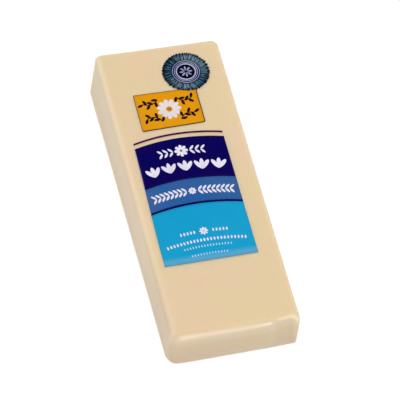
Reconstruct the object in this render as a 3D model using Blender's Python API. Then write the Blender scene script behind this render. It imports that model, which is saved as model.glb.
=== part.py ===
"""A bar of cheddar sealed in clear film, with printed label pieces and a round foil seal on its top.

The bar lies on its back. +Y runs along it towards the end with the seal, +X to the right of someone
who reads the label, +Z up. The origin is under the middle of the bar, on the surface it lies on.
"""
import math

import bmesh
import bpy

MM = 0.001

# The bar, wrapped: its box, and for each of its eight corners how far the corner stands in from the
# sides of that box (across, along), then the rounding there (across, along, upwards).
WIDTH = 59.3 * MM
LENGTH = 151.1 * MM
HEIGHT = 24.7 * MM
LEFT, RIGHT = 0, 1
FRONT, BACK = 0, 1
LOW, TOP = 0, 1
CORNERS_MM = {
    (LEFT, FRONT, LOW): (2.1, 0.9, 4.3, 5.6, 5.8),
    (RIGHT, FRONT, LOW): (0.0, 2.2, 1.4, 1.7, 2.0),
    (LEFT, BACK, LOW): (0.0, 1.8, 1.4, 2.3, 1.6),
    (RIGHT, BACK, LOW): (0.3, 1.0, 2.4, 2.4, 2.4),
    (LEFT, FRONT, TOP): (3.1, 0.4, 5.0, 3.0, 4.6),
    (RIGHT, FRONT, TOP): (1.0, 0.1, 2.2, 1.9, 3.4),
    (LEFT, BACK, TOP): (2.1, 0.5, 3.2, 1.1, 3.4),
    (RIGHT, BACK, TOP): (0.8, 0.2, 3.4, 3.2, 2.5),
}
ROUND_STEPS = 5
CELLS = (8, 20, 4)

# The film draws the front top edge in beside the right corner, where the cheese was cut short: half of
# it in a short step, the rest evenly to the corner. It does so all the way down at first, then, from
# CORNER_START to the corner, only near the top.
DRAWN_IN = 2.8 * MM
DRAWN_START = 15.5 * MM
DRAWN_STEP = 19.5 * MM
DRAWN_FULL = 28.5 * MM
DRAWN_DOWN = 4.8 * MM
DRAWN_REACH = 9.0 * MM
CORNER_START = 24.0 * MM
CORNER_FULL = 29.0 * MM

# The label pieces lie flat on the top. Their places are counted from the middle of the label's front edge.
GAP = 0.3 * MM
SKIN = 0.3 * MM
LABEL_X = -1.45 * MM
LABEL_FRONT = -40.2 * MM
LABEL_WIDTH = 40.5 * MM
ARC_RISE = 2.5 * MM
ARC_SEGMENTS = 24
BAND_SIDE = 61.4 * MM
LINE_SIDE = 63.6 * MM
LINE_THICK = 0.7 * MM
BADGE_WIDTH = 28.5 * MM
BADGE_FRONT = 70.3 * MM
BADGE_LENGTH = 19.2 * MM
BADGE_ROUND = 1.0 * MM
SEAL_X = 11.95 * MM
SEAL_Y = 98.8 * MM
SEAL_RADIUS = 10.75 * MM
SEAL_SEGMENTS = 72

FILM_COLOUR = (0.80, 0.62, 0.37, 1.0)
BLUE_COLOUR = (0.01, 0.16, 0.38, 1.0)
PLUM_COLOUR = (0.10, 0.01, 0.08, 1.0)
ORANGE_COLOUR = (0.80, 0.33, 0.01, 1.0)
FOIL_COLOUR = (0.12, 0.22, 0.30, 1.0)


def clear_scene():
    for old in list(bpy.data.objects):
        bpy.data.objects.remove(old, do_unlink=True)


def make_material(name, colour, roughness, metallic=0.0):
    material = bpy.data.materials.new(name)
    material.use_nodes = True
    shader = material.node_tree.nodes["Principled BSDF"]
    shader.inputs["Base Color"].default_value = colour
    shader.inputs["Roughness"].default_value = roughness
    shader.inputs["Metallic"].default_value = metallic
    return material


def add_object(name, bm, material):
    mesh = bpy.data.meshes.new(name)
    bmesh.ops.recalc_face_normals(bm, faces=bm.faces)
    bm.to_mesh(mesh)
    bm.free()
    mesh.materials.append(material)
    piece = bpy.data.objects.new(name, mesh)
    bpy.context.scene.collection.objects.link(piece)
    return piece


def stations(cells):
    """Stops along one axis of the bar: (share of the straight run, reach into the rounding)."""
    turns = [math.tan(math.radians(45) * step / ROUND_STEPS) for step in range(1, ROUND_STEPS + 1)]
    low = [(0.0, -reach) for reach in reversed(turns)]
    middle = [(cell / cells, 0.0) for cell in range(cells + 1)]
    high = [(1.0, reach) for reach in turns]
    return low + middle + high


def between(low, high, share):
    return low + (high - low) * share


def corner_value(item, fixed, share_a, share_b):
    """Blends one corner measure over the four corners of a side. fixed is (axis, side)."""
    axis, side = fixed
    values = []
    for a in (0, 1):
        for b in (0, 1):
            key = [a, b]
            key.insert(axis, side)
            values.append(CORNERS_MM[tuple(key)][item] * MM)
    return between(between(values[0], values[1], share_b), between(values[2], values[3], share_b), share_a)


def smooth_step(value, start, end):
    share = min(1.0, max(0.0, (value - start) / (end - start)))
    return share * share * (3.0 - 2.0 * share)


def drawn_in(x, y, z):
    """How far a point of the bar moves back where the film draws in the front top edge."""
    rest = min(1.0, max(0.0, (x - DRAWN_START) / (DRAWN_FULL - DRAWN_START)))
    across = (smooth_step(x, DRAWN_START, DRAWN_STEP) + rest) / 2
    near_top = smooth_step(z, HEIGHT - DRAWN_DOWN, HEIGHT)
    down = between(z / HEIGHT, near_top, smooth_step(x, CORNER_START, CORNER_FULL))
    along = 1.0 - smooth_step(y, -LENGTH / 2, -LENGTH / 2 + DRAWN_REACH)
    return DRAWN_IN * across * down * along


def bar_point(stops):
    """The place of one lattice point of the bar's surface, from its stop on each axis."""
    length = math.sqrt(sum(reach * reach for _, reach in stops))
    spans = ((-WIDTH / 2, WIDTH / 2), (-LENGTH / 2, LENGTH / 2), (0.0, HEIGHT))
    place = []
    for axis, (share, reach) in enumerate(stops):
        share_a, share_b = (stops[other][0] for other in range(3) if other != axis)
        ends = []
        for side, sign in ((0, 1.0), (1, -1.0)):
            inset = corner_value(axis, (axis, side), share_a, share_b) if axis < 2 else 0.0
            rounding = corner_value(2 + axis, (axis, side), share_a, share_b)
            ends.append((spans[axis][side] + sign * (inset + rounding), rounding))
        (low, round_low), (high, round_high) = ends
        straight = between(low, high, share)
        place.append(straight + reach / length * (round_low if reach < 0 else round_high))
    x, y, z = place
    return x, y + drawn_in(x, y, z), z


def make_bar(material):
    """A closed lattice box whose edges are rounded and whose corners each have their own place."""
    lines = [stations(cells) for cells in CELLS]
    last = [len(line) - 1 for line in lines]
    bm = bmesh.new()
    points = {}

    def point(index):
        if index not in points:
            points[index] = bm.verts.new(bar_point([lines[axis][index[axis]] for axis in range(3)]))
        return points[index]

    for axis in range(3):
        first, second = (other for other in range(3) if other != axis)
        for side in (0, last[axis]):
            for a in range(last[first]):
                for b in range(last[second]):
                    quad = []
                    for step_a, step_b in ((0, 0), (1, 0), (1, 1), (0, 1)):
                        index = [side, side, side]
                        index[first] = a + step_a
                        index[second] = b + step_b
                        quad.append(point(tuple(index)))
                    bm.faces.new(quad)
    for level in (0.0, HEIGHT):
        flat = [face for face in bm.faces if all(abs(v.co.z - level) < 1e-7 for v in face.verts)]
        bmesh.ops.dissolve_faces(bm, faces=flat, use_verts=True)
    add_object("wrapped_cheese", bm, material).data.shade_smooth()


def arc_height(x):
    """How much lower than its crown a printed arc of the label's width is at x from its middle."""
    radius = ((LABEL_WIDTH / 2) ** 2 + ARC_RISE ** 2) / (2 * ARC_RISE)
    return radius - math.sqrt(radius * radius - x * x)


def arc_line(side_y):
    """Points of an arc across the label, left to right; side_y is where it meets the label's sides."""
    stops = [LABEL_WIDTH * (step / ARC_SEGMENTS - 0.5) for step in range(ARC_SEGMENTS + 1)]
    return [(x, side_y + ARC_RISE - arc_height(x)) for x in stops]


def round_corners(width, length, radius):
    """Outline of a plate with round corners, its front edge on y = 0 and its middle on x = 0."""
    outline = []
    centres = ((1, 1, 0), (-1, 1, 90), (-1, -1, 180), (1, -1, 270))
    for sign_x, sign_y, start in centres:
        for step in range(ROUND_STEPS + 1):
            angle = math.radians(start + 90 * step / ROUND_STEPS)
            x = sign_x * (width / 2 - radius) + radius * math.cos(angle)
            y = length / 2 + sign_y * (length / 2 - radius) + radius * math.sin(angle)
            outline.append((x, y))
    return outline


def make_skin(name, outline, material, low=GAP, thick=SKIN):
    """A thin plate of the given outline, lying low above the bar's flat top."""
    bm = bmesh.new()
    corners = [bm.verts.new((x + LABEL_X, y + LABEL_FRONT, HEIGHT + low)) for x, y in outline]
    raised = bmesh.ops.extrude_face_region(bm, geom=[bm.faces.new(corners)])
    top = [item for item in raised["geom"] if isinstance(item, bmesh.types.BMVert)]
    bmesh.ops.translate(bm, verts=top, vec=(0.0, 0.0, thick))
    return add_object(name, bm, material)


def make_label(blue, plum):
    half = LABEL_WIDTH / 2
    band = [(-half, 0.0), (half, 0.0)] + arc_line(BAND_SIDE)[::-1]
    make_skin("label_band", band, blue)
    line = arc_line(LINE_SIDE) + arc_line(LINE_SIDE + LINE_THICK)[::-1]
    make_skin("label_line", line, plum)


def seal_ring(radius):
    turns = [2 * math.pi * step / SEAL_SEGMENTS for step in range(SEAL_SEGMENTS)]
    return [(SEAL_X + radius * math.cos(turn), SEAL_Y + radius * math.sin(turn)) for turn in turns]


def make_badge(material):
    """The badge's plate, cut back round the seal that lies over its far corner."""
    plate = round_corners(BADGE_WIDTH, BADGE_LENGTH, BADGE_ROUND)
    badge = make_skin("label_badge", [(x, y + BADGE_FRONT) for x, y in plate], material)
    cutter = make_skin("seal_cutter", seal_ring(SEAL_RADIUS + GAP), material, GAP / 2, 2 * SKIN)
    cutter.hide_render = True
    cutter.display_type = "WIRE"
    bite = badge.modifiers.new("seal_bite", "BOOLEAN")
    bite.operation = "DIFFERENCE"
    bite.solver = "EXACT"
    bite.object = cutter


def main():
    clear_scene()
    make_bar(make_material("film_on_cheese", FILM_COLOUR, 0.25))
    blue = make_material("blue_print", BLUE_COLOUR, 0.35)
    plum = make_material("plum_print", PLUM_COLOUR, 0.35)
    make_label(blue, plum)
    make_badge(make_material("orange_print", ORANGE_COLOUR, 0.35))
    make_skin("foil_seal", seal_ring(SEAL_RADIUS), make_material("seal_foil", FOIL_COLOUR, 0.3, 0.8))


main()
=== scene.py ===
"""Looks of a bar of cheddar in clear film, with a printed label and a round foil seal on its top."""
import math

import bmesh
import bpy
import numpy as np
from mathutils import Matrix, Vector, noise


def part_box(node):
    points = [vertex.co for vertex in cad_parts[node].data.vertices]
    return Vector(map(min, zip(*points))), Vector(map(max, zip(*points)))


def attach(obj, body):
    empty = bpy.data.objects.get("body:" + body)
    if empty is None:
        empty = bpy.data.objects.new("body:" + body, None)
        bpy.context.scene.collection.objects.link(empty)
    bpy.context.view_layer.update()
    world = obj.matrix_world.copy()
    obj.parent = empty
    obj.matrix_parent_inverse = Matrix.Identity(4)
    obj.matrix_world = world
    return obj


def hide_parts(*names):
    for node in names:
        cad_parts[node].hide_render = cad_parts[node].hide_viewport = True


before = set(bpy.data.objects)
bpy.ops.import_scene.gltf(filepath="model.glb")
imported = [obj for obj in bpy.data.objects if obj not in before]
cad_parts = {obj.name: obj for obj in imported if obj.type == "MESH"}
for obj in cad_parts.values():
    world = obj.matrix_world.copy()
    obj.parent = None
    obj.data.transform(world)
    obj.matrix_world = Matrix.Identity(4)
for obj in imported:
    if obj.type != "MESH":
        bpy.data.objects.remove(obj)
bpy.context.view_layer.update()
bar_low, bar_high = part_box("wrapped_cheese")
band_low, band_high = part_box("label_band")
badge_low, badge_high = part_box("label_badge")
line_low, line_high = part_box("label_line")
seal_low, seal_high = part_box("foil_seal")

MM = 0.001

# The bar's box.
WIDTH = bar_high[0] - bar_low[0]
LENGTH = 151.1 * MM
HEIGHT = bar_high[2]
FRONT_END = -LENGTH / 2
LEFT_SIDE = -WIDTH / 2

# Each corner, [x side][y side][z side]: how far it stands in (x, y), then its rounding (x, y, z).
CORNERS = MM * np.array([
    [
        [(2.1, 0.9, 4.3, 5.6, 5.8), (3.1, 0.4, 5.0, 3.0, 4.6)],
        [(0.0, 1.8, 1.4, 2.3, 1.6), (2.1, 0.35, 3.2, 1.0, 3.0)],
    ],
    [
        [(0.0, 2.2, 1.4, 1.7, 2.0), (1.0, 0.1, 2.2, 1.9, 3.4)],
        [(0.3, 1.0, 2.4, 2.4, 2.4), (0.8, 0.2, 3.4, 3.2, 2.5)],
    ],
])
CELLS = (44, 110, 16)
ROUND_STEPS = 10

# Where the film draws in the front edge, beside and at the right corner.
DRAWN_IN = 2.8 * MM
DRAWN_START, DRAWN_STEP, DRAWN_FULL = 15.5 * MM, 19.5 * MM, 28.5 * MM
DRAWN_DOWN = 4.8 * MM
DRAWN_REACH = 9.0 * MM
CORNER_START, CORNER_FULL = 24.0 * MM, 29.0 * MM
FILM_THICK = 0.12 * MM

# Waves of the cheese and of the film over it: height, size and seed of each kind.
TOP_WAVE, TOP_WAVE_SIZE, TOP_SEED = 0.05 * MM, 28 * MM, 3.1
SIDE_WAVE, SIDE_WAVE_SIZE, SIDE_SEED = 0.12 * MM, 22 * MM, 5.7
CREST_STREAK, STREAK_SIZE, STREAK_SEED = 0.04 * MM, 9 * MM, 8.2
FRONT_FOLD, FOLD_SIZE, FOLD_SEED = 0.1 * MM, 12 * MM, 1.4
SIDE_PULL, PULL_SIZE, PULL_SEED = 0.08 * MM, 9 * MM, 2.6

# The front end: its swell, its shoulder and the film's crest, with spans along x and leans in degrees.
FRONT_SWELL = 1.25 * MM
SWELL_FADE = (20 * MM, 29 * MM)
SWELL_LOWERING, SWELL_NARROWING = 0.75, 1.3
SHOULDER_START = 10.0 * MM
SHOULDER_LEAN = 1.1 * MM
SHOULDER_REACH = 14 * MM
LEFT_SPAN, MIDDLE_SPAN, RIGHT_SPAN = (-29 * MM, -22 * MM), (-15 * MM, -9 * MM), (15 * MM, 21 * MM)
LEFT_SHARE, MIDDLE_LOSS, RIGHT_LOSS = 0.4, 0.45, 0.8
CREST_HEIGHT = 0.1 * MM
CREST_LEAN, CREST_SPREAD = 53.0, 20.0
CREST_LEAST = 0.02
CREASE_SHINE = 0.009

# The label: places are counted from the middle of its front edge.
LABEL_X = (band_low[0] + band_high[0]) / 2
LABEL_FRONT = band_low[1]
LABEL_WIDTH = band_high[0] - band_low[0]
LABEL_TAPER = 0.6 * MM
TAPER_GROWS, TAPER_ENDS = (10 * MM, 62 * MM), (66 * MM, 69 * MM)
ARC_RISE = 2.5 * MM
ARC_RADIUS = ((LABEL_WIDTH / 2) ** 2 + ARC_RISE ** 2) / (2 * ARC_RISE)
BAND_TOP = band_high[1] - LABEL_FRONT
NAVY_CROWN = 42.0 * MM
RULE_CROWN = 29.8 * MM
RULE_THICK = 1.1 * MM
LINE_CROWN = line_high[1] - LABEL_FRONT
LINE_THICK = 0.95 * MM

# Ornament: heights of its rows above the label's front edge, then places and pitches along the rows.
CROWN_UP = 57.0 * MM
FANS_UP = 46.3 * MM
BRANCHES_UP = 35.6 * MM
LOW_BLOSSOM_UP = 14.75 * MM
SHORT_ROWS_UP = 13.9 * MM
LONG_ROW_UP = 9.5 * MM
UPPER_FAINT_UP, LOWER_FAINT_UP = 6.7 * MM, 2.8 * MM
CROWN_SIDEWAYS, BRANCH_SIDEWAYS, SHORT_ROW_SIDEWAYS = 6.2 * MM, 9.4 * MM, 7.0 * MM
FAN_PITCH, CROWN_PITCH, BRANCH_PITCH = 7.1 * MM, 2.4 * MM, 1.95 * MM

# Badge and seal: the plates, the sprigs beside the blossom, and the seal's place, radii and painted sheen.
BADGE_FLARE = 0.05
EDGE_ROUND, PLATE_ROUND = 0.8 * MM, 0.6 * MM
PLATE_TRIM, PLATE_SHIFT = 0.6 * MM, 0.1 * MM
SPRIG_SIDEWAYS = 4.2 * MM
SPRIG_BEND = 3.0 * MM
NEAR_SPRIG_UP, FAR_SPRIG_UP = -6.2 * MM, 6.0 * MM
NEAR_SPRIG_TURN, FAR_SPRIG_TURN = 22, -14
SPRIG_LEAF_LEAN = 0.85
SEAL_X = (seal_low[0] + seal_high[0]) / 2
SEAL_Y = (seal_low[1] + seal_high[1]) / 2
SEAL_RADIUS = (seal_high[0] - seal_low[0]) / 2
TEETH_START = 8.7 * MM
TEETH_OVER = 0.25 * MM
DISC_TRIM = 0.3 * MM
HAZE_RADIUS, BAND_RADIUS, HUB_RADIUS = 6.6 * MM, 4.6 * MM, 4.0 * MM
SHEEN_TURN = math.radians(58)
SHEEN_SIDE = (0.22, -0.28, 0.0)
FLAT = (1.0, 1.0, 0.0)

# Print: how thick it is, how high each kind lies over the film, and how finely it is cut.
PRINT_THICK = 0.02 * MM
SEAL_THICK = 0.03 * MM
PRINT_LIFT, INK_LIFT = 0.03 * MM, 0.06 * MM
EDGE_LIFT, PLATE_LIFT, BLOSSOM_LIFT, SPRIG_LIFT = 0.02 * MM, 0.045 * MM, 0.07 * MM, 0.095 * MM
SEAL_LIFTS = [lift * MM for lift in (0.08, 0.115, 0.14, 0.165, 0.19, 0.215, 0.24, 0.265)]
FIELD_COLUMNS = 40
DISC_RINGS = 8
CIRCLE_STEPS = 72
CORNER_STEPS = 6
MERGE_WITHIN = 0.002 * MM

# Camera: where it stands in relation to the bar's origin, and its turn about its own three axes.
CAMERA_PLACE = (-166.64 * MM, -482.58 * MM, 755.43 * MM)
CAMERA_AZIMUTH = math.radians(-19.50)
CAMERA_ELEVATION = math.radians(55.58)
CAMERA_ROLL = math.radians(7.37)
CAMERA_LENS = 185.2

# Room: the floor, the light all round, and for each lamp its place, width and power.
WHITE = (1.0, 1.0, 1.0, 1.0)
FLOOR_HALF = 2.0
FLOOR_DEPTH = 0.1 * MM
FLOOR_COLOUR = (0.12, 0.12, 0.12, 1.0)
FLOOR_GLOW = 0.93
ROOM_LIGHT = 0.35
OVERHEAD_LAMP = ((0.4, -0.06, 2.36), 1.9, 39.5)
FILL_LAMP = ((-1.8, -0.55, 0.5), 1.0, 3.8)
SIDE_CARD = ((-0.85, 0.6, 0.35), 0.9, 18.0)
FRONT_CARD = ((0.2, -0.98, 0.2), 0.7, 26.5)


def tone(red, green, blue):
    """A linear colour from the red, green and blue that a screen shows it with, 0 to 255."""
    shares = [value / 255 for value in (red, green, blue)]
    return tuple(c / 12.92 if c <= 0.04045 else ((c + 0.055) / 1.055) ** 2.4 for c in shares) + (1.0,)


def add(tree, kind, feeds=None, **settings):
    """Adds a node; feeds gives each named or numbered input a value or another node's output."""
    node = tree.nodes.new(kind)
    for name, value in settings.items():
        setattr(node, name, value)
    for name, feed in (feeds or {}).items():
        if isinstance(feed, bpy.types.NodeSocket):
            tree.links.new(feed, node.inputs[name])
        else:
            node.inputs[name].default_value = feed
    return node


def calc(tree, operation, first, second=0.0):
    return add(tree, "ShaderNodeMath", {0: first, 1: second}, operation=operation).outputs[0]


def product(tree, first, *others):
    """The first number multiplied by each of the others in turn."""
    for other in others:
        first = calc(tree, "MULTIPLY", first, other)
    return first


def vector_calc(tree, operation, first, second=(0.0, 0.0, 0.0)):
    node = add(tree, "ShaderNodeVectorMath", {0: first, 1: second}, operation=operation)
    return node.outputs["Value" if operation in ("DOT_PRODUCT", "LENGTH") else "Vector"]


def vector(tree, x=0.0, y=0.0, z=0.0):
    return add(tree, "ShaderNodeCombineXYZ", {0: x, 1: y, 2: z}).outputs[0]


def parts_of(tree, place):
    """The x, y and z of a vector."""
    return add(tree, "ShaderNodeSeparateXYZ", {0: place}).outputs


def own_place(tree):
    """Where a point of the piece is, in the piece's own coordinates."""
    return add(tree, "ShaderNodeTexCoord").outputs["Object"]


def new_material(name):
    """A material with no nodes but its output."""
    material = bpy.data.materials.new(name)
    material.use_nodes = True
    tree = material.node_tree
    tree.nodes.clear()
    output = add(tree, "ShaderNodeOutputMaterial")
    return material, tree, output


def set_surface(tree, output, feeds):
    """Gives a material one all-round surface shader with these inputs."""
    surface = add(tree, "ShaderNodeBsdfPrincipled", feeds)
    tree.links.new(surface.outputs[0], output.inputs["Surface"])


def object_noise(tree, scale, detail, stretch=(1.0, 1.0, 1.0)):
    """Noise over the piece's own coordinates, stretched along its axes."""
    feeds = {"Vector": own_place(tree), "Scale": stretch}
    stretched = add(tree, "ShaderNodeMapping", feeds).outputs[0]
    feeds = {"Vector": stretched, "Scale": scale, "Detail": detail}
    return add(tree, "ShaderNodeTexNoise", feeds).outputs[0]


def blend_colours(tree, share, first, second):
    mixed = add(tree, "ShaderNodeMix", data_type="RGBA")
    tree.links.new(share, mixed.inputs["Factor"])
    for name, colour in (("A", first), ("B", second)):
        socket = [s for s in mixed.inputs if s.name == name and s.type == "RGBA"][0]
        if isinstance(colour, bpy.types.NodeSocket):
            tree.links.new(colour, socket)
        else:
            socket.default_value = colour
    return [s for s in mixed.outputs if s.type == "RGBA"][0]


def ramp(tree, value, low, high):
    """Spreads the stretch of value from low to high over 0 to 1."""
    feeds = {"Value": value, "From Min": low, "From Max": high}
    return add(tree, "ShaderNodeMapRange", feeds, interpolation_type="SMOOTHSTEP").outputs[0]


def bump(tree, height, strength, distance, under=None):
    """Shading of a fine relief; under is the relief that it lies on."""
    feeds = {"Height": height, "Strength": strength, "Distance": distance}
    if under is not None:
        feeds["Normal"] = under
    return add(tree, "ShaderNodeBump", feeds).outputs[0]


def cheese_material():
    """Pale cream cheddar with soft clouds and a fine curd grain, with painted shade low down on the front
    and left, and a painted lighter band under the front top edge."""
    material, tree, output = new_material("cheddar_paste")
    warm, yellow = tone(233, 208, 175), tone(231, 210, 170)
    pale, deep = tone(242, 224, 196), tone(219, 190, 160)
    clouds = ramp(tree, object_noise(tree, 38.0, 2.0), 0.35, 0.65)
    grain = ramp(tree, object_noise(tree, 900.0, 4.0), 0.3, 0.7)
    paste = blend_colours(tree, clouds, warm, yellow)
    paste = blend_colours(tree, product(tree, grain, 0.12), paste, pale)
    x, y, z = parts_of(tree, own_place(tree))
    # Painted shade: the paste is darker low down on the front end and low and towards the front on the
    # left side, where the table's contact shadow falls.
    low = ramp(tree, z, 17 * MM, 2 * MM)
    front = ramp(tree, y, FRONT_END + 7 * MM, FRONT_END + 2 * MM)
    left = ramp(tree, x, LEFT_SIDE + 6 * MM, LEFT_SIDE + 3 * MM)
    near = ramp(tree, y, -20 * MM, -60 * MM)
    on_left = product(tree, left, product(tree, calc(tree, "ADD", low, near), 0.45))
    painted_shade = calc(tree, "MAXIMUM", product(tree, low, front), on_left)
    paste = blend_colours(tree, painted_shade, paste, deep)
    # Painted light: the front end is paler just under its top edge, where the upper face leans back
    # towards the lamp.
    rising = ramp(tree, z, HEIGHT - 9 * MM, HEIGHT - 3.5 * MM)
    ending = ramp(tree, z, HEIGHT - 0.9 * MM, HEIGHT - 2.7 * MM)
    paste = blend_colours(tree, product(tree, rising, ending, front, 0.7), paste, pale)
    curd = bump(tree, object_noise(tree, 420.0, 5.0), 0.12, 0.2 * MM)
    set_surface(tree, output, {
        "Base Color": paste,
        "Roughness": 0.55,
        "Specular IOR Level": 0.1,
        "Normal": curd,
        "Subsurface Weight": 0.8,
        "Subsurface Radius": (1.0, 0.8, 0.5),
        "Subsurface Scale": 3.5 * MM,
    })
    return material


def crease_mask(tree):
    """1 along the pinched right part of the front top edge, 0 elsewhere."""
    x, y, z = parts_of(tree, own_place(tree))
    start = ramp(tree, x, 7 * MM, 16 * MM)
    corner = product(tree, ramp(tree, x, 18 * MM, 22 * MM), 0.7)
    across = calc(tree, "SUBTRACT", start, corner)
    front = ramp(tree, y, FRONT_END + 9 * MM, FRONT_END + 7 * MM)
    below = ramp(tree, z, HEIGHT - 2.6 * MM, HEIGHT - 1.2 * MM)
    above = ramp(tree, z, HEIGHT - 0.15 * MM, HEIGHT - 0.5 * MM)
    return product(tree, product(tree, across, front), product(tree, below, above))


def film_material():
    """Clear film: see-through, with a soft gloss that grows towards grazing views."""
    material, tree, output = new_material("clear_film")
    waves = object_noise(tree, 60.0, 2.0, (1.0, 0.35, 1.0))
    puckers = object_noise(tree, 300.0, 3.0, (1.0, 0.4, 1.0))
    soft = bump(tree, waves, 0.25, 0.6 * MM)
    fine = bump(tree, puckers, 0.1, 0.15 * MM, soft)
    feeds = {"Color": WHITE, "Roughness": 0.38, "Normal": fine}
    gloss = add(tree, "ShaderNodeBsdfGlossy", feeds)
    edge = add(tree, "ShaderNodeFresnel", {"IOR": 1.35, "Normal": fine}).outputs[0]
    shine = product(tree, calc(tree, "MINIMUM", edge, 0.165), 0.5)
    shine = calc(tree, "ADD", shine, product(tree, crease_mask(tree), CREASE_SHINE))
    see = add(tree, "ShaderNodeBsdfTransparent")
    mixed = add(tree, "ShaderNodeMixShader", {0: shine, 1: see.outputs[0], 2: gloss.outputs[0]})
    tree.links.new(mixed.outputs[0], output.inputs["Surface"])
    return material


def ink_drift(tree, colour, second, size):
    """One colour drifting softly to a second."""
    drift = ramp(tree, object_noise(tree, size, 2.0), 0.35, 0.65)
    return blend_colours(tree, drift, colour, second)


def finish_ink(tree, output, ink):
    soft = bump(tree, object_noise(tree, 150.0, 2.0), 0.1, 0.2 * MM)
    feeds = {"Base Color": ink, "Roughness": 0.5, "Specular IOR Level": 0.03, "Normal": soft}
    set_surface(tree, output, feeds)


def print_material(name, colour, second, size=45.0):
    """Flat ink with hardly any shine: one colour drifting softly to a second."""
    material, tree, output = new_material(name)
    finish_ink(tree, output, ink_drift(tree, colour, second, size))
    return material


def sky_material():
    """Sky-blue ink with a painted reflection: it pales in a narrow band along the label's front edge."""
    material, tree, output = new_material("sky_ink")
    ink = ink_drift(tree, tone(20, 158, 206), tone(26, 160, 207), 45.0)
    along = parts_of(tree, own_place(tree))[1]
    # Painted reflection: a paler band along the label's front edge, where the film catches the light.
    painted_reflection = ramp(tree, along, LABEL_FRONT + 4.2 * MM, LABEL_FRONT + 1.6 * MM)
    finish_ink(tree, output, blend_colours(tree, painted_reflection, ink, tone(88, 166, 204)))
    return material


def seal_frame(tree, turn):
    """The seal's own coordinates: from its middle, turned by an angle."""
    place, angles = (SEAL_X, SEAL_Y, 0.0), (0.0, 0.0, turn)
    feeds = {"Vector": own_place(tree), "Location": place, "Rotation": angles}
    return add(tree, "ShaderNodeMapping", feeds, vector_type="TEXTURE").outputs[0]


def foil_material(name, dark, light, streak):
    """Foil with a painted sheen: lighter along one line through its middle, darker across it, and streaked
    outwards.
    """
    material, tree, output = new_material(name)
    # Painted sheen: the colour is lighter along one line through the middle and darker across it and on
    # one side, standing in for the foil's reflection.
    turned = seal_frame(tree, SHEEN_TURN)
    squares = parts_of(tree, vector_calc(tree, "MULTIPLY", turned, turned))
    total = calc(tree, "ADD", squares[0], squares[1])
    outward = vector_calc(tree, "NORMALIZE", vector_calc(tree, "MULTIPLY", turned, FLAT))
    side = vector_calc(tree, "DOT_PRODUCT", outward, SHEEN_SIDE)
    both = calc(tree, "ADD", calc(tree, "DIVIDE", squares[0], total), side)
    foil = blend_colours(tree, ramp(tree, both, 0.0, 1.0), dark, light)
    reach = vector_calc(tree, "LENGTH", turned)
    lift = vector(tree, z=product(tree, reach, 40.0))
    feeds = {"Vector": vector_calc(tree, "ADD", outward, lift), "Scale": 26.0, "Detail": 3.0}
    streaks = add(tree, "ShaderNodeTexNoise", feeds).outputs[0]
    foil = blend_colours(tree, ramp(tree, streaks, 0.5, 0.72), foil, streak)
    feeds = {"Base Color": foil, "Roughness": 0.45, "Metallic": 0.2, "Specular IOR Level": 0.1}
    set_surface(tree, output, feeds)
    return material


def finish_piece(name, mesh, material, node, smooth=True):
    """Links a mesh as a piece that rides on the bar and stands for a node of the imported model."""
    mesh.materials.clear()
    mesh.materials.append(material)
    if smooth:
        mesh.shade_smooth()
    else:
        mesh.shade_flat()
    piece = bpy.data.objects.new(name, mesh)
    bpy.context.scene.collection.objects.link(piece)
    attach(piece, "root")
    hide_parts(node)
    return piece


def smooth_step(value, start, end):
    share = np.clip((value - start) / (end - start), 0.0, 1.0)
    return share * share * (3.0 - 2.0 * share)


def soft_noise(points, size, seed):
    """Smooth noise, about -1 to 1, with features of the given size, at each point."""
    offset = Vector((seed, 2.3 * seed, 0.7 * seed))
    return np.array([noise.noise(Vector(point) / size + offset) for point in points])


def stations(cells):
    """Stops along one axis of the bar: share of the straight run, and reach into the rounding."""
    turns = np.tan(np.linspace(0.0, math.pi / 4, ROUND_STEPS + 1)[1:])
    run = np.linspace(0.0, 1.0, cells + 1)
    share = np.concatenate([np.zeros(ROUND_STEPS), run, np.ones(ROUND_STEPS)])
    reach = np.concatenate([-turns[::-1], np.zeros(cells + 1), turns])
    return share, reach


def lattice():
    """Surface lattice of the bar: shares and reaches of its points, and its outward quads."""
    lines = [stations(cells) for cells in CELLS]
    counts = [len(share) for share, _ in lines]
    index = np.indices(counts)
    outside = np.zeros(counts, bool)
    for axis, count in enumerate(counts):
        outside |= (index[axis] == 0) | (index[axis] == count - 1)
    number = np.full(counts, -1)
    number[outside] = np.arange(outside.sum())
    places = index[:, outside]
    share = np.stack([lines[axis][0][places[axis]] for axis in range(3)], 1)
    reach = np.stack([lines[axis][1][places[axis]] for axis in range(3)], 1)
    quads = []
    for axis in range(3):
        for side, flip in ((0, True), (counts[axis] - 1, False)):
            sheet = np.take(number, side, axis=axis)
            around = [sheet[:-1, :-1], sheet[1:, :-1], sheet[1:, 1:], sheet[:-1, 1:]]
            ring = np.stack(around, -1).reshape(-1, 4)
            quads.append(ring[:, ::-1] if flip != (axis == 1) else ring)
    return share, reach, np.concatenate(quads)


def corner_blend(item, axis, side, share_a, share_b):
    """One corner measure, blended over the four corners on a side of the bar."""
    four = np.take(CORNERS[..., item], side, axis=axis)
    near = four[0, 0] + (four[0, 1] - four[0, 0]) * share_b
    far = four[1, 0] + (four[1, 1] - four[1, 0]) * share_b
    return near + (far - near) * share_a


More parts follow.
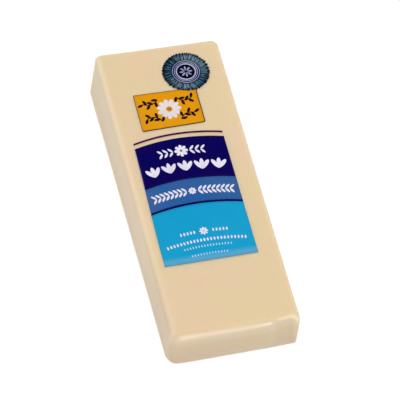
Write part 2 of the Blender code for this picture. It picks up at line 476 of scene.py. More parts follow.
def bar_shape(share, reach, inset):
    """Places and outward directions of the lattice points, the whole surface set in by inset."""
    direction = reach / np.linalg.norm(reach, axis=1)[:, None]
    spans = ((-WIDTH / 2, WIDTH / 2), (-LENGTH / 2, LENGTH / 2), (0.0, HEIGHT))
    place = np.zeros_like(share)
    for axis in range(3):
        share_a, share_b = (share[:, other] for other in range(3) if other != axis)
        ends = []
        for side, sign in ((0, 1.0), (1, -1.0)):
            stand = corner_blend(axis, axis, side, share_a, share_b) if axis < 2 else 0.0
            rounding = corner_blend(2 + axis, axis, side, share_a, share_b)
            ends.append((spans[axis][side] + sign * (stand + rounding), rounding - inset))
        (low, round_low), (high, round_high) = ends
        rounding = np.where(reach[:, axis] < 0, round_low, round_high)
        place[:, axis] = low + (high - low) * share[:, axis] + direction[:, axis] * rounding
    place[:, 1] += drawn_in(place)
    place[:, 1] += front_shoulder(place)
    return place, direction


def drawn_in(place):
    """How far each point moves back where the film draws in the front edge beside its right corner."""
    x, y, z = place.T
    rest = np.clip((x - DRAWN_START) / (DRAWN_FULL - DRAWN_START), 0.0, 1.0)
    across = (smooth_step(x, DRAWN_START, DRAWN_STEP) + rest) / 2
    near_top = smooth_step(z, HEIGHT - DRAWN_DOWN, HEIGHT)
    down = z / HEIGHT + (near_top - z / HEIGHT) * smooth_step(x, CORNER_START, CORNER_FULL)
    along = 1.0 - smooth_step(y, FRONT_END, FRONT_END + DRAWN_REACH)
    return DRAWN_IN * across * down * along


def front_shoulder(place):
    """How far the front end leans back above its lower third: less past the middle, least on the right."""
    x, y, z = place.T
    high = np.clip((z - SHOULDER_START) / (HEIGHT - SHOULDER_START), 0.0, 1.0) ** 2
    along = 1.0 - smooth_step(y, FRONT_END, FRONT_END + SHOULDER_REACH)
    left_end = LEFT_SHARE + (1.0 - LEFT_SHARE) * smooth_step(x, *LEFT_SPAN)
    middle = 1.0 - MIDDLE_LOSS * smooth_step(x, *MIDDLE_SPAN)
    right_end = 1.0 - RIGHT_LOSS * smooth_step(x, *RIGHT_SPAN)
    return SHOULDER_LEAN * high * along * left_end * middle * right_end


def top_relief(x, y):
    """How far the flat top stands above or below its level: a slow, shallow waviness."""
    points = [(a, b, 0.0) for a, b in zip(x, y)]
    return TOP_WAVE * soft_noise(points, TOP_WAVE_SIZE, TOP_SEED)


def paste_relief(place, direction):
    """The cheese's own relief: slow waves, and a front end that swells low down and leans back above."""
    x, y, z = place.T
    up = np.clip(direction[:, 2], 0.0, 1.0)
    down = np.clip(-direction[:, 2], 0.0, 1.0)
    front = np.clip(-direction[:, 1], 0.0, 1.0)
    waves = SIDE_WAVE * soft_noise(place, SIDE_WAVE_SIZE, SIDE_SEED) * (1.0 - up) * (1.0 - down)
    inner = 1.0 - smooth_step(np.abs(x), *SWELL_FADE)
    height = np.clip(z / HEIGHT, 0.0, 1.0) ** SWELL_LOWERING
    bulge = np.sin(math.pi * height) ** SWELL_NARROWING
    return waves + FRONT_SWELL * front * inner * bulge + top_relief(x, y) * up ** 2


def film_relief(place, direction):
    """The film's relief: the cheese's, a crest on the front edge, and folds on the front and left."""
    x, y, z = place.T
    up = np.clip(direction[:, 2], 0.0, 1.0)
    front = np.clip(-direction[:, 1], 0.0, 1.0)
    left = np.clip(-direction[:, 0], 0.0, 1.0)
    lean = np.degrees(np.arctan2(front, np.maximum(direction[:, 2], 1e-6)))
    streak = soft_noise(np.stack([x, 0 * x, 0 * x], 1), STREAK_SIZE, STREAK_SEED)
    ridge = CREST_HEIGHT + CREST_STREAK * streak
    ridge = ridge * np.exp(-((lean - CREST_LEAN) / CREST_SPREAD) ** 2) * (front > CREST_LEAST)
    slant = np.stack([x + 0.6 * z, 0.25 * y, 1.6 * z - 0.5 * x], 1)
    folds = FRONT_FOLD * (1.0 + soft_noise(slant, FOLD_SIZE, FOLD_SEED)) * front * (1.0 - up)
    pull_line = np.stack([0 * x, 0.35 * y, 1.5 * z + 0.1 * y], 1)
    pulls = SIDE_PULL * (1.0 + soft_noise(pull_line, PULL_SIZE, PULL_SEED)) * left * (1.0 - up)
    return paste_relief(place, direction) + ridge + folds + pulls


def bar_mesh(name, inset, relief):
    share, reach, quads = lattice()
    place, direction = bar_shape(share, reach, inset)
    offset = relief(place, direction)
    place = place + direction * offset[:, None]
    place[:, 2] = np.maximum(place[:, 2], 0.0)
    mesh = bpy.data.meshes.new(name)
    mesh.from_pydata(place.tolist(), [], quads.tolist())
    mesh.update()
    return mesh


def make_bar():
    """The cheese, and the clear film over it."""
    paste = bar_mesh("cheddar_bar", FILM_THICK, paste_relief)
    finish_piece("cheddar_bar", paste, cheese_material(), "wrapped_cheese")
    film = bar_mesh("film_wrap", 0.0, film_relief)
    finish_piece("film_wrap", film, film_material(), "wrapped_cheese")


def arc_drop(x):
    """How much lower than its crown a printed arc is at x from the label's middle line."""
    return ARC_RADIUS - np.sqrt(ARC_RADIUS ** 2 - np.square(x))


def drape(mesh, lift):
    """Lays a mesh built flat on the label's own plane onto the film of the bar's top."""
    flat = np.zeros(len(mesh.vertices) * 3)
    mesh.vertices.foreach_get("co", flat)
    flat = flat.reshape(-1, 3)
    to_left = np.clip(-2.0 * flat[:, 0] / LABEL_WIDTH, 0.0, 1.0)
    on_field = smooth_step(flat[:, 1], *TAPER_GROWS)
    past_line = smooth_step(flat[:, 1], *TAPER_ENDS)
    x = flat[:, 0] + LABEL_X + LABEL_TAPER * to_left * (on_field - past_line)
    y = flat[:, 1] + LABEL_FRONT
    laid = np.stack([x, y, flat[:, 2] + HEIGHT + top_relief(x, y) + lift], 1)
    mesh.vertices.foreach_set("co", laid.ravel())
    mesh.update()
    return mesh


def slab(name, top, quads, thick):
    """A closed thin sheet: the given flat points and faces as its top, a copy below, and a rim."""
    bm = bmesh.new()
    upper = [bm.verts.new((x, y, thick)) for x, y in top]
    faces = [bm.faces.new([upper[corner] for corner in quad]) for quad in quads]
    bmesh.ops.recalc_face_normals(bm, faces=faces)
    for face in faces:
        face.normal_update()
    if faces[0].normal.z < 0:
        bmesh.ops.reverse_faces(bm, faces=faces)
    rim = [edge for edge in bm.edges if edge.is_boundary]
    under = bmesh.ops.duplicate(bm, geom=bm.verts[:] + bm.edges[:] + bm.faces[:])
    lower = [item for item in under["geom"] if isinstance(item, bmesh.types.BMFace)]
    for vertex in {v for face in lower for v in face.verts}:
        vertex.co.z = 0.0
    bmesh.ops.reverse_faces(bm, faces=lower)
    rims = rim + [edge for edge in bm.edges if edge.is_boundary and edge not in set(rim)]
    bmesh.ops.bridge_loops(bm, edges=rims)
    bmesh.ops.recalc_face_normals(bm, faces=bm.faces)
    mesh = bpy.data.meshes.new(name)
    bm.to_mesh(mesh)
    bm.free()
    return mesh


def field(name, low, high, rows):
    """A printed field across the label between two lines, each given as its height at x."""
    stops = np.linspace(-LABEL_WIDTH / 2, LABEL_WIDTH / 2, FIELD_COLUMNS + 1)
    top = []
    for row in range(rows + 1):
        top += [(x, low(x) + (high(x) - low(x)) * row / rows) for x in stops]
    across = FIELD_COLUMNS + 1
    quads = []
    for row in range(rows):
        for near in range(row * across, row * across + FIELD_COLUMNS):
            quads.append((near, near + 1, near + across + 1, near + across))
    return slab(name, top, quads, PRINT_THICK)


def disc(name, outline, centre, thick=PRINT_THICK):
    """A thin plate of a round or rounded outline, in rings about its centre."""
    count = len(outline)
    middle_x, middle_y = centre
    top = []
    for ring in range(1, DISC_RINGS + 1):
        for x, y in outline:
            reach_x, reach_y = (x - middle_x) * ring / DISC_RINGS, (y - middle_y) * ring / DISC_RINGS
            top.append((middle_x + reach_x, middle_y + reach_y))
    quads = []
    for start in range(0, (DISC_RINGS - 1) * count, count):
        for step in range(count):
            near, after = start + step, start + (step + 1) % count
            quads.append((near, after, after + count, near + count))
    quads.append(tuple(range(count)))
    return slab(name, top, quads, thick)


def arc_at(crown):
    return lambda x: crown - arc_drop(x)


def level_at(height):
    return lambda x: height + 0.0 * x


def make_fields():
    """The label's blue fields, its dark rule, and the plum line above."""
    navy = print_material("navy_ink", tone(6, 0, 86), tone(16, 0, 84))
    blue = print_material("mid_blue_ink", tone(38, 93, 160), tone(56, 98, 157))
    rule = print_material("rule_ink", tone(4, 0, 84), tone(8, 2, 78))
    sky = sky_material()
    plum = print_material("plum_ink", tone(108, 4, 104), tone(74, 2, 60))
    rule_foot = arc_at(RULE_CROWN - RULE_THICK)
    line_foot = arc_at(LINE_CROWN - LINE_THICK)
    band, line = ("label_band", "blue_print"), ("label_line", "plum_print")
    pieces = (
        ("navy_field", arc_at(NAVY_CROWN), arc_at(BAND_TOP), 10, navy, band),
        ("mid_blue_field", arc_at(RULE_CROWN), arc_at(NAVY_CROWN), 8, blue, band),
        ("rule_strip", rule_foot, arc_at(RULE_CROWN), 1, rule, band),
        ("sky_field", level_at(0.0), rule_foot, 16, sky, band),
        ("plum_line", line_foot, arc_at(LINE_CROWN), 1, plum, line),
    )
    for name, low, high, rows, ink, (node, slot) in pieces:
        finish_piece(name, drape(field(name, low, high, rows), PRINT_LIFT), ink, node)


def start_tree(name, **sizes):
    """A Geometry Nodes tree with a named input for each size and one for the ink."""
    tree = bpy.data.node_groups.new(name, "GeometryNodeTree")
    for size, value in sizes.items():
        kind = "NodeSocketInt" if isinstance(value, int) else "NodeSocketFloat"
        socket = tree.interface.new_socket(size, in_out="INPUT", socket_type=kind)
        socket.default_value = value
    tree.interface.new_socket("ink", in_out="INPUT", socket_type="NodeSocketMaterial")
    tree.interface.new_socket("Geometry", in_out="OUTPUT", socket_type="NodeSocketGeometry")
    return tree, tree.nodes.new("NodeGroupInput").outputs


def finish_tree(tree, sizes, *parts):
    """Joins the parts, makes their instances real, and gives them their ink."""
    both = add(tree, "GeometryNodeJoinGeometry")
    for part in parts:
        tree.links.new(part, both.inputs[0])
    real = add(tree, "GeometryNodeRealizeInstances", {0: both.outputs[0]}).outputs[0]
    feeds = {"Geometry": real, "Material": sizes["ink"]}
    inked = add(tree, "GeometryNodeSetMaterial", feeds).outputs[0]
    tree.links.new(inked, tree.nodes.new("NodeGroupOutput").inputs[0])
    return tree


def instances(tree, points, shape, **feeds):
    """A copy of a shape on each point; feeds may give its Rotation and Scale."""
    feeds = {"Points": points, "Instance": shape, **feeds}
    return add(tree, "GeometryNodeInstanceOnPoints", feeds).outputs[0]


def plate(tree, outline, thick):
    """A closed plate of a closed flat curve, standing on z = 0."""
    face = add(tree, "GeometryNodeFillCurve", {0: outline}, mode="NGONS").outputs[0]
    rise = vector(tree, z=thick)
    feeds = {"Mesh": face, "Offset": rise, "Offset Scale": 1.0, "Individual": False}
    raised = add(tree, "GeometryNodeExtrudeMesh", feeds).outputs[0]
    both = add(tree, "GeometryNodeJoinGeometry")
    tree.links.new(raised, both.inputs[0])
    tree.links.new(add(tree, "GeometryNodeFlipFaces", {0: face}).outputs[0], both.inputs[0])
    feeds = {0: both.outputs[0], "Distance": MERGE_WITHIN}
    return add(tree, "GeometryNodeMergeByDistance", feeds).outputs[0]


def strip(tree, curve, width, thick, caps=False):
    """A flat strip along a curve, standing on z = 0."""
    feeds = {"Width": width, "Height": thick}
    section = add(tree, "GeometryNodeCurvePrimitiveQuadrilateral", feeds, mode="RECTANGLE").outputs[0]
    feeds = {"Curve": curve, "Profile Curve": section, "Fill Caps": caps}
    swept = add(tree, "GeometryNodeCurveToMesh", feeds).outputs[0]
    up = vector(tree, z=product(tree, thick, 0.5))
    return add(tree, "GeometryNodeTransform", {"Geometry": swept, "Translation": up}).outputs[0]


def unit_circle(tree, steps):
    feeds = {"Resolution": steps, "Radius": 1.0}
    return add(tree, "GeometryNodeCurvePrimitiveCircle", feeds, mode="RADIUS").outputs[0]


def leaf_outline(tree, width, length, widest, point):
    """A petal, leaf or lozenge from y = 0 to y = length. widest is the power that moves its widest part
    (1 is the middle, less is further out); point draws its two ends to tips."""
    ring = unit_circle(tree, 16)
    spot = parts_of(tree, add(tree, "GeometryNodeInputPosition").outputs[0])
    along = product(tree, calc(tree, "ADD", spot[1], 1.0), 0.5)
    y = product(tree, calc(tree, "POWER", along, widest), length)
    taper = calc(tree, "POWER", calc(tree, "ABSOLUTE", spot[0]), point)
    x = product(tree, product(tree, spot[0], taper), product(tree, width, 0.5))
    feeds = {"Geometry": ring, "Position": vector(tree, x, y)}
    return add(tree, "GeometryNodeSetPosition", feeds).outputs[0]


def from_middle(tree, count):
    """Each point's number, counted from the middle of a row of count points."""
    index = add(tree, "GeometryNodeInputIndex").outputs[0]
    half = product(tree, calc(tree, "SUBTRACT", count, 1.0), 0.5)
    return calc(tree, "SUBTRACT", index, half)


def row_points(tree, count, pitch, middle, bend):
    """Points along a row about x = middle that sinks away from x = 0 as a shallow arc does."""
    x = calc(tree, "ADD", product(tree, from_middle(tree, count), pitch), middle)
    y = product(tree, x, x, bend, -1.0)
    feeds = {"Count": count, "Position": vector(tree, x, y)}
    return add(tree, "GeometryNodePoints", feeds).outputs[0]


def random_share(tree, low, seed):
    """A random number for each point, from low to 1."""
    node = add(tree, "FunctionNodeRandomValue", data_type="FLOAT")
    feed_enabled(tree, node, {"Min": low, "Max": 1.0, "Seed": seed})
    return [socket for socket in node.outputs if socket.enabled][0]


def feed_enabled(tree, node, feeds):
    """Feeds the inputs of these names that are in use; unused kinds carry the same names."""
    for socket in node.inputs:
        if socket.enabled and socket.name in feeds:
            feed = feeds[socket.name]
            if isinstance(feed, bpy.types.NodeSocket):
                tree.links.new(feed, socket)
            else:
                socket.default_value = feed


def fan_tree():
    """Fans of leaves side by side along a shallow arc, each fan upright on the arc."""
    tree, sizes = start_tree(
        "fan_row", count=5, pitch=5.0 * MM, middle=0.0, bend=0.0, leaves=1, spread=0.5, heading=0.0,
        leaf_width=1.0 * MM, leaf_length=3.0 * MM, widest=1.0, point=0.0, thick=PRINT_THICK)
    shape = [sizes[name] for name in ("leaf_width", "leaf_length", "widest", "point")]
    leaf = plate(tree, leaf_outline(tree, *shape), sizes["thick"])
    angle = product(tree, from_middle(tree, sizes["leaves"]), sizes["spread"])
    turned = vector(tree, z=calc(tree, "ADD", angle, sizes["heading"]))
    root = add(tree, "GeometryNodePoints", {"Count": sizes["leaves"]}).outputs[0]
    leaves = instances(tree, root, leaf, Rotation=turned)
    fan = add(tree, "GeometryNodeRealizeInstances", {0: leaves}).outputs[0]
    points = row_points(tree, sizes["count"], sizes["pitch"], sizes["middle"], sizes["bend"])
    spot = parts_of(tree, add(tree, "GeometryNodeInputPosition").outputs[0])
    slope = product(tree, spot[0], sizes["bend"], -2.0)
    return finish_tree(tree, sizes, instances(tree, points, fan, Rotation=vector(tree, z=slope)))


def petal_tree():
    """Leaf-shaped plates that point outwards all round a middle, of uneven length and spacing."""
    tree, sizes = start_tree(
        "petal_ring", count=12, hub=1.0 * MM, petal_length=3.0 * MM, petal_width=1.0 * MM, widest=0.6,
        point=0.0, shortest=1.0, jitter=0.0, turn=0.0, seed=1, thick=PRINT_THICK)
    shape = [sizes[name] for name in ("petal_width", "petal_length", "widest", "point")]
    petal = plate(tree, leaf_outline(tree, *shape), sizes["thick"])
    index = add(tree, "GeometryNodeInputIndex").outputs[0]
    shift = product(tree, random_share(tree, -1.0, sizes["seed"]), sizes["jitter"])
    step = calc(tree, "DIVIDE", calc(tree, "ADD", index, shift), sizes["count"])
    angle = calc(tree, "ADD", product(tree, step, math.tau), sizes["turn"])
    x = product(tree, calc(tree, "COSINE", angle), sizes["hub"])
    y = product(tree, calc(tree, "SINE", angle), sizes["hub"])
    feeds = {"Count": sizes["count"], "Position": vector(tree, x, y)}
    points = add(tree, "GeometryNodePoints", feeds).outputs[0]
    feeds = {"Geometry": points, "Name": "angle", "Value": angle}
    kept = add(tree, "GeometryNodeStoreNamedAttribute", feeds, data_type="FLOAT", domain="POINT")
    read = add(tree, "GeometryNodeInputNamedAttribute", {"Name": "angle"}, data_type="FLOAT")
    kept_angle = [socket for socket in read.outputs if socket.enabled][0]
    turned = vector(tree, z=calc(tree, "SUBTRACT", kept_angle, math.pi / 2))
    tall = random_share(tree, sizes["shortest"], calc(tree, "ADD", sizes["seed"], 7.0))
    stretch = vector(tree, 1.0, tall, 1.0)
    petals = instances(tree, kept.outputs[0], petal, Rotation=turned, Scale=stretch)
    return finish_tree(tree, sizes, petals)


def ring_tree():
    """Flat rings about one middle, each a spacing wider than the last."""
    tree, sizes = start_tree(
        "ring_set", count=3, first_radius=5.0 * MM, spacing=0.4 * MM, width=0.15 * MM, thick=PRINT_THICK)
    index = add(tree, "GeometryNodeInputIndex").outputs[0]
    radius = calc(tree, "ADD", product(tree, index, sizes["spacing"]), sizes["first_radius"])
    points = add(tree, "GeometryNodePoints", {"Count": sizes["count"]}).outputs[0]
    stretch = vector(tree, radius, radius, 1.0)
    circles = instances(tree, points, unit_circle(tree, CIRCLE_STEPS), Scale=stretch)
    real = add(tree, "GeometryNodeRealizeInstances", {0: circles}).outputs[0]
    return finish_tree(tree, sizes, strip(tree, real, sizes["width"], sizes["thick"]))


def sprig_tree():
    """A bent stem with leaves that leave it on one side and then the other."""
    tree, sizes = start_tree(
        "sprig", reach=8.0 * MM, bend=1.0 * MM, leaves=8, leaf_length=2.4 * MM, leaf_width=0.9 * MM,
        stem_width=0.4 * MM, thick=PRINT_THICK)
    half = vector(tree, product(tree, sizes["reach"], 0.5), sizes["bend"])
    tip = vector(tree, sizes["reach"])
    feeds = {"Resolution": 12, "Start": (0.0, 0.0, 0.0), "Middle": half, "End": tip}
    stem = add(tree, "GeometryNodeCurveQuadraticBezier", feeds).outputs[0]
    stalk = strip(tree, stem, sizes["stem_width"], sizes["thick"], True)
    feeds = {"Curve": stem, "Count": sizes["leaves"]}
    spots = add(tree, "GeometryNodeCurveToPoints", feeds, mode="COUNT")
    heading = parts_of(tree, spots.outputs["Tangent"])
    along = calc(tree, "ARCTAN2", heading[1], heading[0])
    index = add(tree, "GeometryNodeInputIndex").outputs[0]
    side = calc(tree, "SUBTRACT", product(tree, calc(tree, "MODULO", index, 2.0), 2.0), 1.0)
    outward = calc(tree, "ADD", along, product(tree, side, SPRIG_LEAF_LEAN))
    turned = vector(tree, z=calc(tree, "SUBTRACT", outward, math.pi / 2))
    outline = leaf_outline(tree, sizes["leaf_width"], sizes["leaf_length"], 0.9, 0.5)
    leaf = plate(tree, outline, sizes["thick"])
    leaves = instances(tree, spots.outputs[0], leaf, Rotation=turned)
    return finish_tree(tree, sizes, stalk, leaves)


def grow(name, tree, ink, **sizes):
    """The plain mesh that a tree makes with these sizes."""
    holder = bpy.data.objects.new(name, bpy.data.meshes.new(name + "_seed"))
    bpy.context.scene.collection.objects.link(holder)
    growth = holder.modifiers.new("growth", "NODES")
    growth.node_group = tree
    for item in tree.interface.items_tree:
        if item.in_out == "INPUT" and item.name in sizes:
            growth[item.identifier] = sizes[item.name]
        elif item.in_out == "INPUT" and item.name == "ink":
            growth[item.identifier] = ink
    ready = holder.evaluated_get(bpy.context.evaluated_depsgraph_get())
    mesh = bpy.data.meshes.new_from_object(ready)
    mesh.name = name
    holder.modifiers.clear()
    bpy.data.objects.remove(holder)
    return mesh


def put(mesh, place, turn=0.0):
    """Turns a flat mesh about its own origin and moves it to a place on the label's plane."""
    mesh.transform(Matrix.Translation((place[0], place[1], 0.0)) @ Matrix.Rotation(turn, 4, "Z"))
    return mesh


def joined(name, meshes):
    bm = bmesh.new()
    for mesh in meshes:
        bm.from_mesh(mesh)
        bpy.data.meshes.remove(mesh)
    whole = bpy.data.meshes.new(name)
    bm.to_mesh(whole)
    bm.free()
    return whole


def fan_row(tree, ink, height, **sizes):
    """A row of fans on the label's arc, at a height above the label's front edge."""
    return put(grow("row", tree, ink, bend=0.5 / ARC_RADIUS, **sizes), (0.0, height))


def make_ornament(fans, petals):
    """The white ornament on the label: blossoms, a row of fans, laurel branches, and rows of lozenges."""
    white = print_material("white_ink", tone(236, 230, 244), tone(226, 222, 240), 90.0)
    pale = print_material("pale_ink", tone(200, 222, 240), tone(180, 210, 236), 90.0)
    bold = {"leaf_width": 1.9 * MM, "leaf_length": 5.6 * MM, "widest": 0.75, "point": 0.25}
    laurel = {"leaf_width": 1.05 * MM, "leaf_length": 2.9 * MM, "point": 0.4}
    small = {"pitch": 1.45 * MM, "leaf_width": 0.8 * MM, "leaf_length": 1.7 * MM, "point": 0.6}
    faint = {"pitch": 1.25 * MM, "leaf_width": 0.5 * MM, "leaf_length": 1.2 * MM, "point": 0.6}
    bold.update(leaves=3, spread=math.radians(34), pitch=FAN_PITCH)
    laurel.update(leaves=2, spread=math.radians(95))
    rows = [fan_row(fans, white, FANS_UP, count=5, **bold)]
    for side in (1, -1):
        branch = {"heading": -side * math.pi / 2, **laurel}
        crown = {"count": 3, "pitch": CROWN_PITCH, "middle": side * CROWN_SIDEWAYS}
        rows.append(fan_row(fans, white, CROWN_UP, **crown, **branch))
        low = {"count": 8, "pitch": BRANCH_PITCH, "middle": side * BRANCH_SIDEWAYS}
        rows.append(fan_row(fans, white, BRANCHES_UP, **low, **branch))
        short = {"count": 5, "middle": side * SHORT_ROW_SIDEWAYS}
        rows.append(fan_row(fans, white, SHORT_ROWS_UP, **short, **small))
    rows.append(fan_row(fans, white, LONG_ROW_UP, count=24, **small))
    blossoms = (
        (CROWN_UP, 0.35 * MM, 2.75 * MM, 1.5 * MM),
        (BRANCHES_UP, 0.2 * MM, 1.6 * MM, 0.9 * MM),
        (LOW_BLOSSOM_UP, 0.2 * MM, 1.75 * MM, 0.85 * MM),
    )
    for height, hub, length, width in blossoms:
        sizes = {"count": 8, "hub": hub, "petal_length": length, "petal_width": width}
        rows.append(put(grow("blossom", petals, white, **sizes), (0.0, height)))
    soft = [
        fan_row(fans, pale, UPPER_FAINT_UP, count=17, **faint),
        fan_row(fans, pale, LOWER_FAINT_UP, count=13, **faint),
    ]
    for name, parts, ink in (("white_ornament", rows, white), ("pale_ornament", soft, pale)):
        mesh = drape(joined(name, parts), INK_LIFT)
        finish_piece(name, mesh, ink, "label_band", smooth=False)


def round_corners(width, length, radius):
    """Outline of a plate with round corners, about (0, 0)."""
    outline = []
    for sign_x, sign_y, start in ((1, 1, 0), (-1, 1, 90), (-1, -1, 180), (1, -1, 270)):
        for step in range(CORNER_STEPS + 1):
            angle = math.radians(start + 90 / CORNER_STEPS * step)
            x = sign_x * (width / 2 - radius) + radius * math.cos(angle)
            y = sign_y * (length / 2 - radius) + radius * math.sin(angle)
            outline.append((x, y))
    return outline


def moved(outline, centre):
    return [(x + centre[0], y + centre[1]) for x, y in outline]


def circle(radius):
    turns = [math.tau * step / CIRCLE_STEPS for step in range(CIRCLE_STEPS)]
    return [(radius * math.cos(turn), radius * math.sin(turn)) for turn in turns]


def make_badge(petals, sprigs):
    """The orange badge with its dark edge, a white blossom, and two dark sprigs on each side of it."""
    orange = print_material("orange_ink", tone(234, 150, 4), tone(228, 154, 16))
    brown = print_material("brown_ink", tone(92, 52, 22), tone(70, 36, 20))
    dark = print_material("dark_ink", tone(36, 14, 18), tone(26, 12, 24))
    cream = print_material("cream_ink", tone(236, 226, 226), tone(226, 220, 224), 90.0)
    width, length = badge_high[0] - badge_low[0], badge_high[1] - badge_low[1]
    x = (badge_low[0] + badge_high[0]) / 2 - LABEL_X
    y = (badge_low[1] + badge_high[1]) / 2 - LABEL_FRONT
    plates = (
        ("badge_edge", brown, 0.0, EDGE_ROUND, 0.0, EDGE_LIFT),
        ("badge_plate", orange, PLATE_TRIM, PLATE_ROUND, -PLATE_SHIFT, PLATE_LIFT),
    )
    for name, ink, trim, rounding, shift, lift in plates:
        outline = round_corners(width - trim, length - trim, rounding)
        flared = [(a, b * (1.0 + BADGE_FLARE * (0.5 - a / width))) for a, b in outline]
        mesh = disc(name, moved(flared, (x + shift, y - shift)), (x, y))
        finish_piece(name, drape(mesh, lift), ink, "label_badge")
    bloom = {"count": 11, "hub": 1.2 * MM, "petal_length": 4.3 * MM, "petal_width": 2.1 * MM}
    blossom = put(grow("blossom", petals, cream, widest=0.7, **bloom), (x, y))
    blossom = drape(blossom, BLOSSOM_LIFT)
    finish_piece("badge_blossom", blossom, cream, "label_badge", smooth=False)
    bough = {"reach": 6.8 * MM, "leaves": 6, "stem_width": 0.5 * MM}
    bough.update(leaf_length=3.0 * MM, leaf_width=1.35 * MM)
    pair = (
        (NEAR_SPRIG_UP, NEAR_SPRIG_TURN, SPRIG_BEND),
        (FAR_SPRIG_UP, FAR_SPRIG_TURN, -SPRIG_BEND),
    )
    parts = []
    for side in (1, -1):
        for along, turn, bend in pair:
            sprig = grow("sprig", sprigs, dark, bend=side * bend, **bough)
            angle = math.radians(90 - side * (90 - turn))
            parts.append(put(sprig, (x + side * SPRIG_SIDEWAYS, y + along), angle))
    dots = {"count": 7, "hub": 0.35 * MM, "petal_length": 0.55 * MM, "petal_width": 0.4 * MM}
    parts.append(put(grow("dots", petals, dark, **dots), (x, y)))
    mesh = drape(joined("badge_sprigs", parts), SPRIG_LIFT)
    finish_piece("badge_sprigs", mesh, dark, "label_badge", smooth=False)


def make_seal(petals, rings):
    """The foil seal: a streaked disc, three sets of fine rays, thin rings, and a blossom on a dark hub."""
    middle = (SEAL_X - LABEL_X, SEAL_Y - LABEL_FRONT)
    foil = foil_material("seal_foil", tone(16, 38, 62), tone(74, 98, 114), tone(44, 88, 110))
    night = foil_material("night_foil", tone(0, 2, 16), tone(8, 20, 34), tone(4, 20, 36))
    steel = foil_material("steel_foil", tone(66, 108, 130), tone(144, 170, 180), tone(70, 156, 170))
    lilac = foil_material("lilac_foil", tone(142, 150, 192), tone(166, 168, 210), tone(176, 186, 216))
    pearl = foil_material("pearl_foil", tone(162, 168, 216), tone(196, 196, 236), tone(204, 208, 236))
    haze = foil_material("haze_foil", tone(4, 16, 40), tone(44, 50, 88), tone(30, 50, 84))
    black = print_material("hub_ink", tone(4, 4, 12), tone(8, 10, 22))
    teeth_length = SEAL_RADIUS + TEETH_OVER - TEETH_START
    teeth = {"count": 66, "hub": TEETH_START, "petal_width": 0.62 * MM, "petal_length": teeth_length}
    teeth.update(widest=0.4, shortest=0.85, jitter=0.5, seed=4)
    dark_rays = {"count": 70, "hub": 6.3 * MM, "petal_width": 0.3 * MM, "petal_length": 3.2 * MM}
    dark_rays.update(shortest=0.35, jitter=0.8, seed=12)
    steel_rays = {"count": 74, "hub": 6.6 * MM, "petal_width": 0.28 * MM, "petal_length": 3.5 * MM}
    steel_rays.update(shortest=0.4, jitter=0.8, seed=9)
    two_rings = {"count": 2, "first_radius": 5.2 * MM, "spacing": 0.9 * MM, "width": 0.24 * MM}
    bloom = {"count": 8, "hub": 0.55 * MM, "petal_width": 0.82 * MM, "petal_length": 2.35 * MM}
    bloom.update(widest=0.65)
    pieces = (
        ("seal_disc", foil, 0, None, SEAL_RADIUS - DISC_TRIM, SEAL_THICK),
        ("seal_teeth", night, 1, petals, teeth, None),
        ("seal_dark_rays", night, 2, petals, dark_rays, None),
        ("seal_steel_rays", steel, 3, petals, steel_rays, None),
        ("seal_haze", haze, 4, None, HAZE_RADIUS, PRINT_THICK),
        ("seal_rings", pearl, 5, rings, two_rings, None),
        ("seal_band", pearl, 5, None, BAND_RADIUS, PRINT_THICK),
        ("seal_hub", black, 6, None, HUB_RADIUS, PRINT_THICK),
        ("seal_blossom", lilac, 7, petals, bloom, None),
    )
    for name, finish, layer, tree, sizes, thick in pieces:
        if tree is None:
            mesh = disc(name, moved(circle(sizes), middle), middle, thick)
        else:
            mesh = put(grow(name, tree, finish, **sizes), middle)
        mesh = drape(mesh, SEAL_LIFTS[layer])
        finish_piece(name, mesh, finish, "foil_seal", smooth=False)


def make_floor():
    """A pale table, lit evenly from within."""
    bm = bmesh.new()
    bmesh.ops.create_grid(bm, x_segments=1, y_segments=1, size=FLOOR_HALF)
    mesh = bpy.data.meshes.new("floor")
    bm.to_mesh(mesh)
    bm.free()
    mesh.transform(Matrix.Translation((0.0, 0.0, -FLOOR_DEPTH)))
    material, tree, output = new_material("pale_floor")
    set_surface(tree, output, {
        "Base Color": FLOOR_COLOUR,
        "Roughness": 0.8,
        "Specular IOR Level": 0.0,
        "Emission Color": WHITE,
        "Emission Strength": FLOOR_GLOW,
    })
    mesh.materials.append(material)
    floor = bpy.data.objects.new("floor", mesh)
    bpy.context.scene.collection.objects.link(floor)


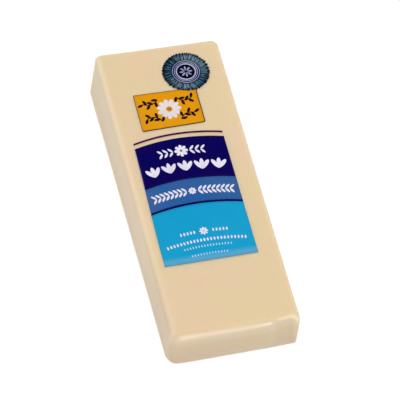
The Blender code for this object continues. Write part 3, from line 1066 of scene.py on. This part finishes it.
def make_light(name, place, width, power):
    """A round area lamp that faces the bar."""
    lamp = bpy.data.lights.new(name, "AREA")
    lamp.shape = "DISK"
    lamp.size = width
    lamp.energy = power
    light = bpy.data.objects.new(name, lamp)
    light.location = place
    light.rotation_mode = "QUATERNION"
    light.rotation_quaternion = (-Vector(place)).to_track_quat("-Z", "Y")
    bpy.context.scene.collection.objects.link(light)
    return light


def make_studio():
    """Even light all round, a lamp overhead, a fill lamp, and two cards that only give the film sheen."""
    world = bpy.data.worlds.new("studio")
    bpy.context.scene.world = world
    world.use_nodes = True
    tree = world.node_tree
    tree.nodes.clear()
    backing = add(tree, "ShaderNodeBackground", {"Color": WHITE, "Strength": ROOM_LIGHT})
    output = add(tree, "ShaderNodeOutputWorld")
    tree.links.new(backing.outputs[0], output.inputs["Surface"])
    for name, lamp in (("overhead_lamp", OVERHEAD_LAMP), ("fill_lamp", FILL_LAMP)):
        make_light(name, *lamp).visible_glossy = False
    for name, card in (("side_card", SIDE_CARD), ("front_card", FRONT_CARD)):
        make_light(name, *card).visible_diffuse = False
    bpy.context.scene.view_settings.view_transform = "Standard"


def make_camera():
    """The photograph's view: high over the bar's front left corner."""
    level_reach = math.cos(CAMERA_ELEVATION)
    back_x = math.sin(CAMERA_AZIMUTH) * level_reach
    back_y = -math.cos(CAMERA_AZIMUTH) * level_reach
    back = Vector((back_x, back_y, math.sin(CAMERA_ELEVATION)))
    level = Vector((math.cos(CAMERA_AZIMUTH), math.sin(CAMERA_AZIMUTH), 0.0))
    upright = back.cross(level)
    right = math.cos(CAMERA_ROLL) * level + math.sin(CAMERA_ROLL) * upright
    up = back.cross(right)
    camera = bpy.data.objects.new("camera", bpy.data.cameras.new("camera"))
    camera.data.lens = CAMERA_LENS
    camera.data.sensor_width = 36.0
    camera.data.clip_start = 0.05
    turn = Matrix((right, up, back)).transposed().to_4x4()
    camera.matrix_world = Matrix.Translation(CAMERA_PLACE) @ turn
    bpy.context.scene.collection.objects.link(camera)
    bpy.context.scene.camera = camera


petal_ring, fan_line = petal_tree(), fan_tree()
make_camera()
make_studio()
make_floor()
make_bar()
make_fields()
make_ornament(fan_line, petal_ring)
make_badge(petal_ring, sprig_tree())
make_seal(petal_ring, ring_tree())
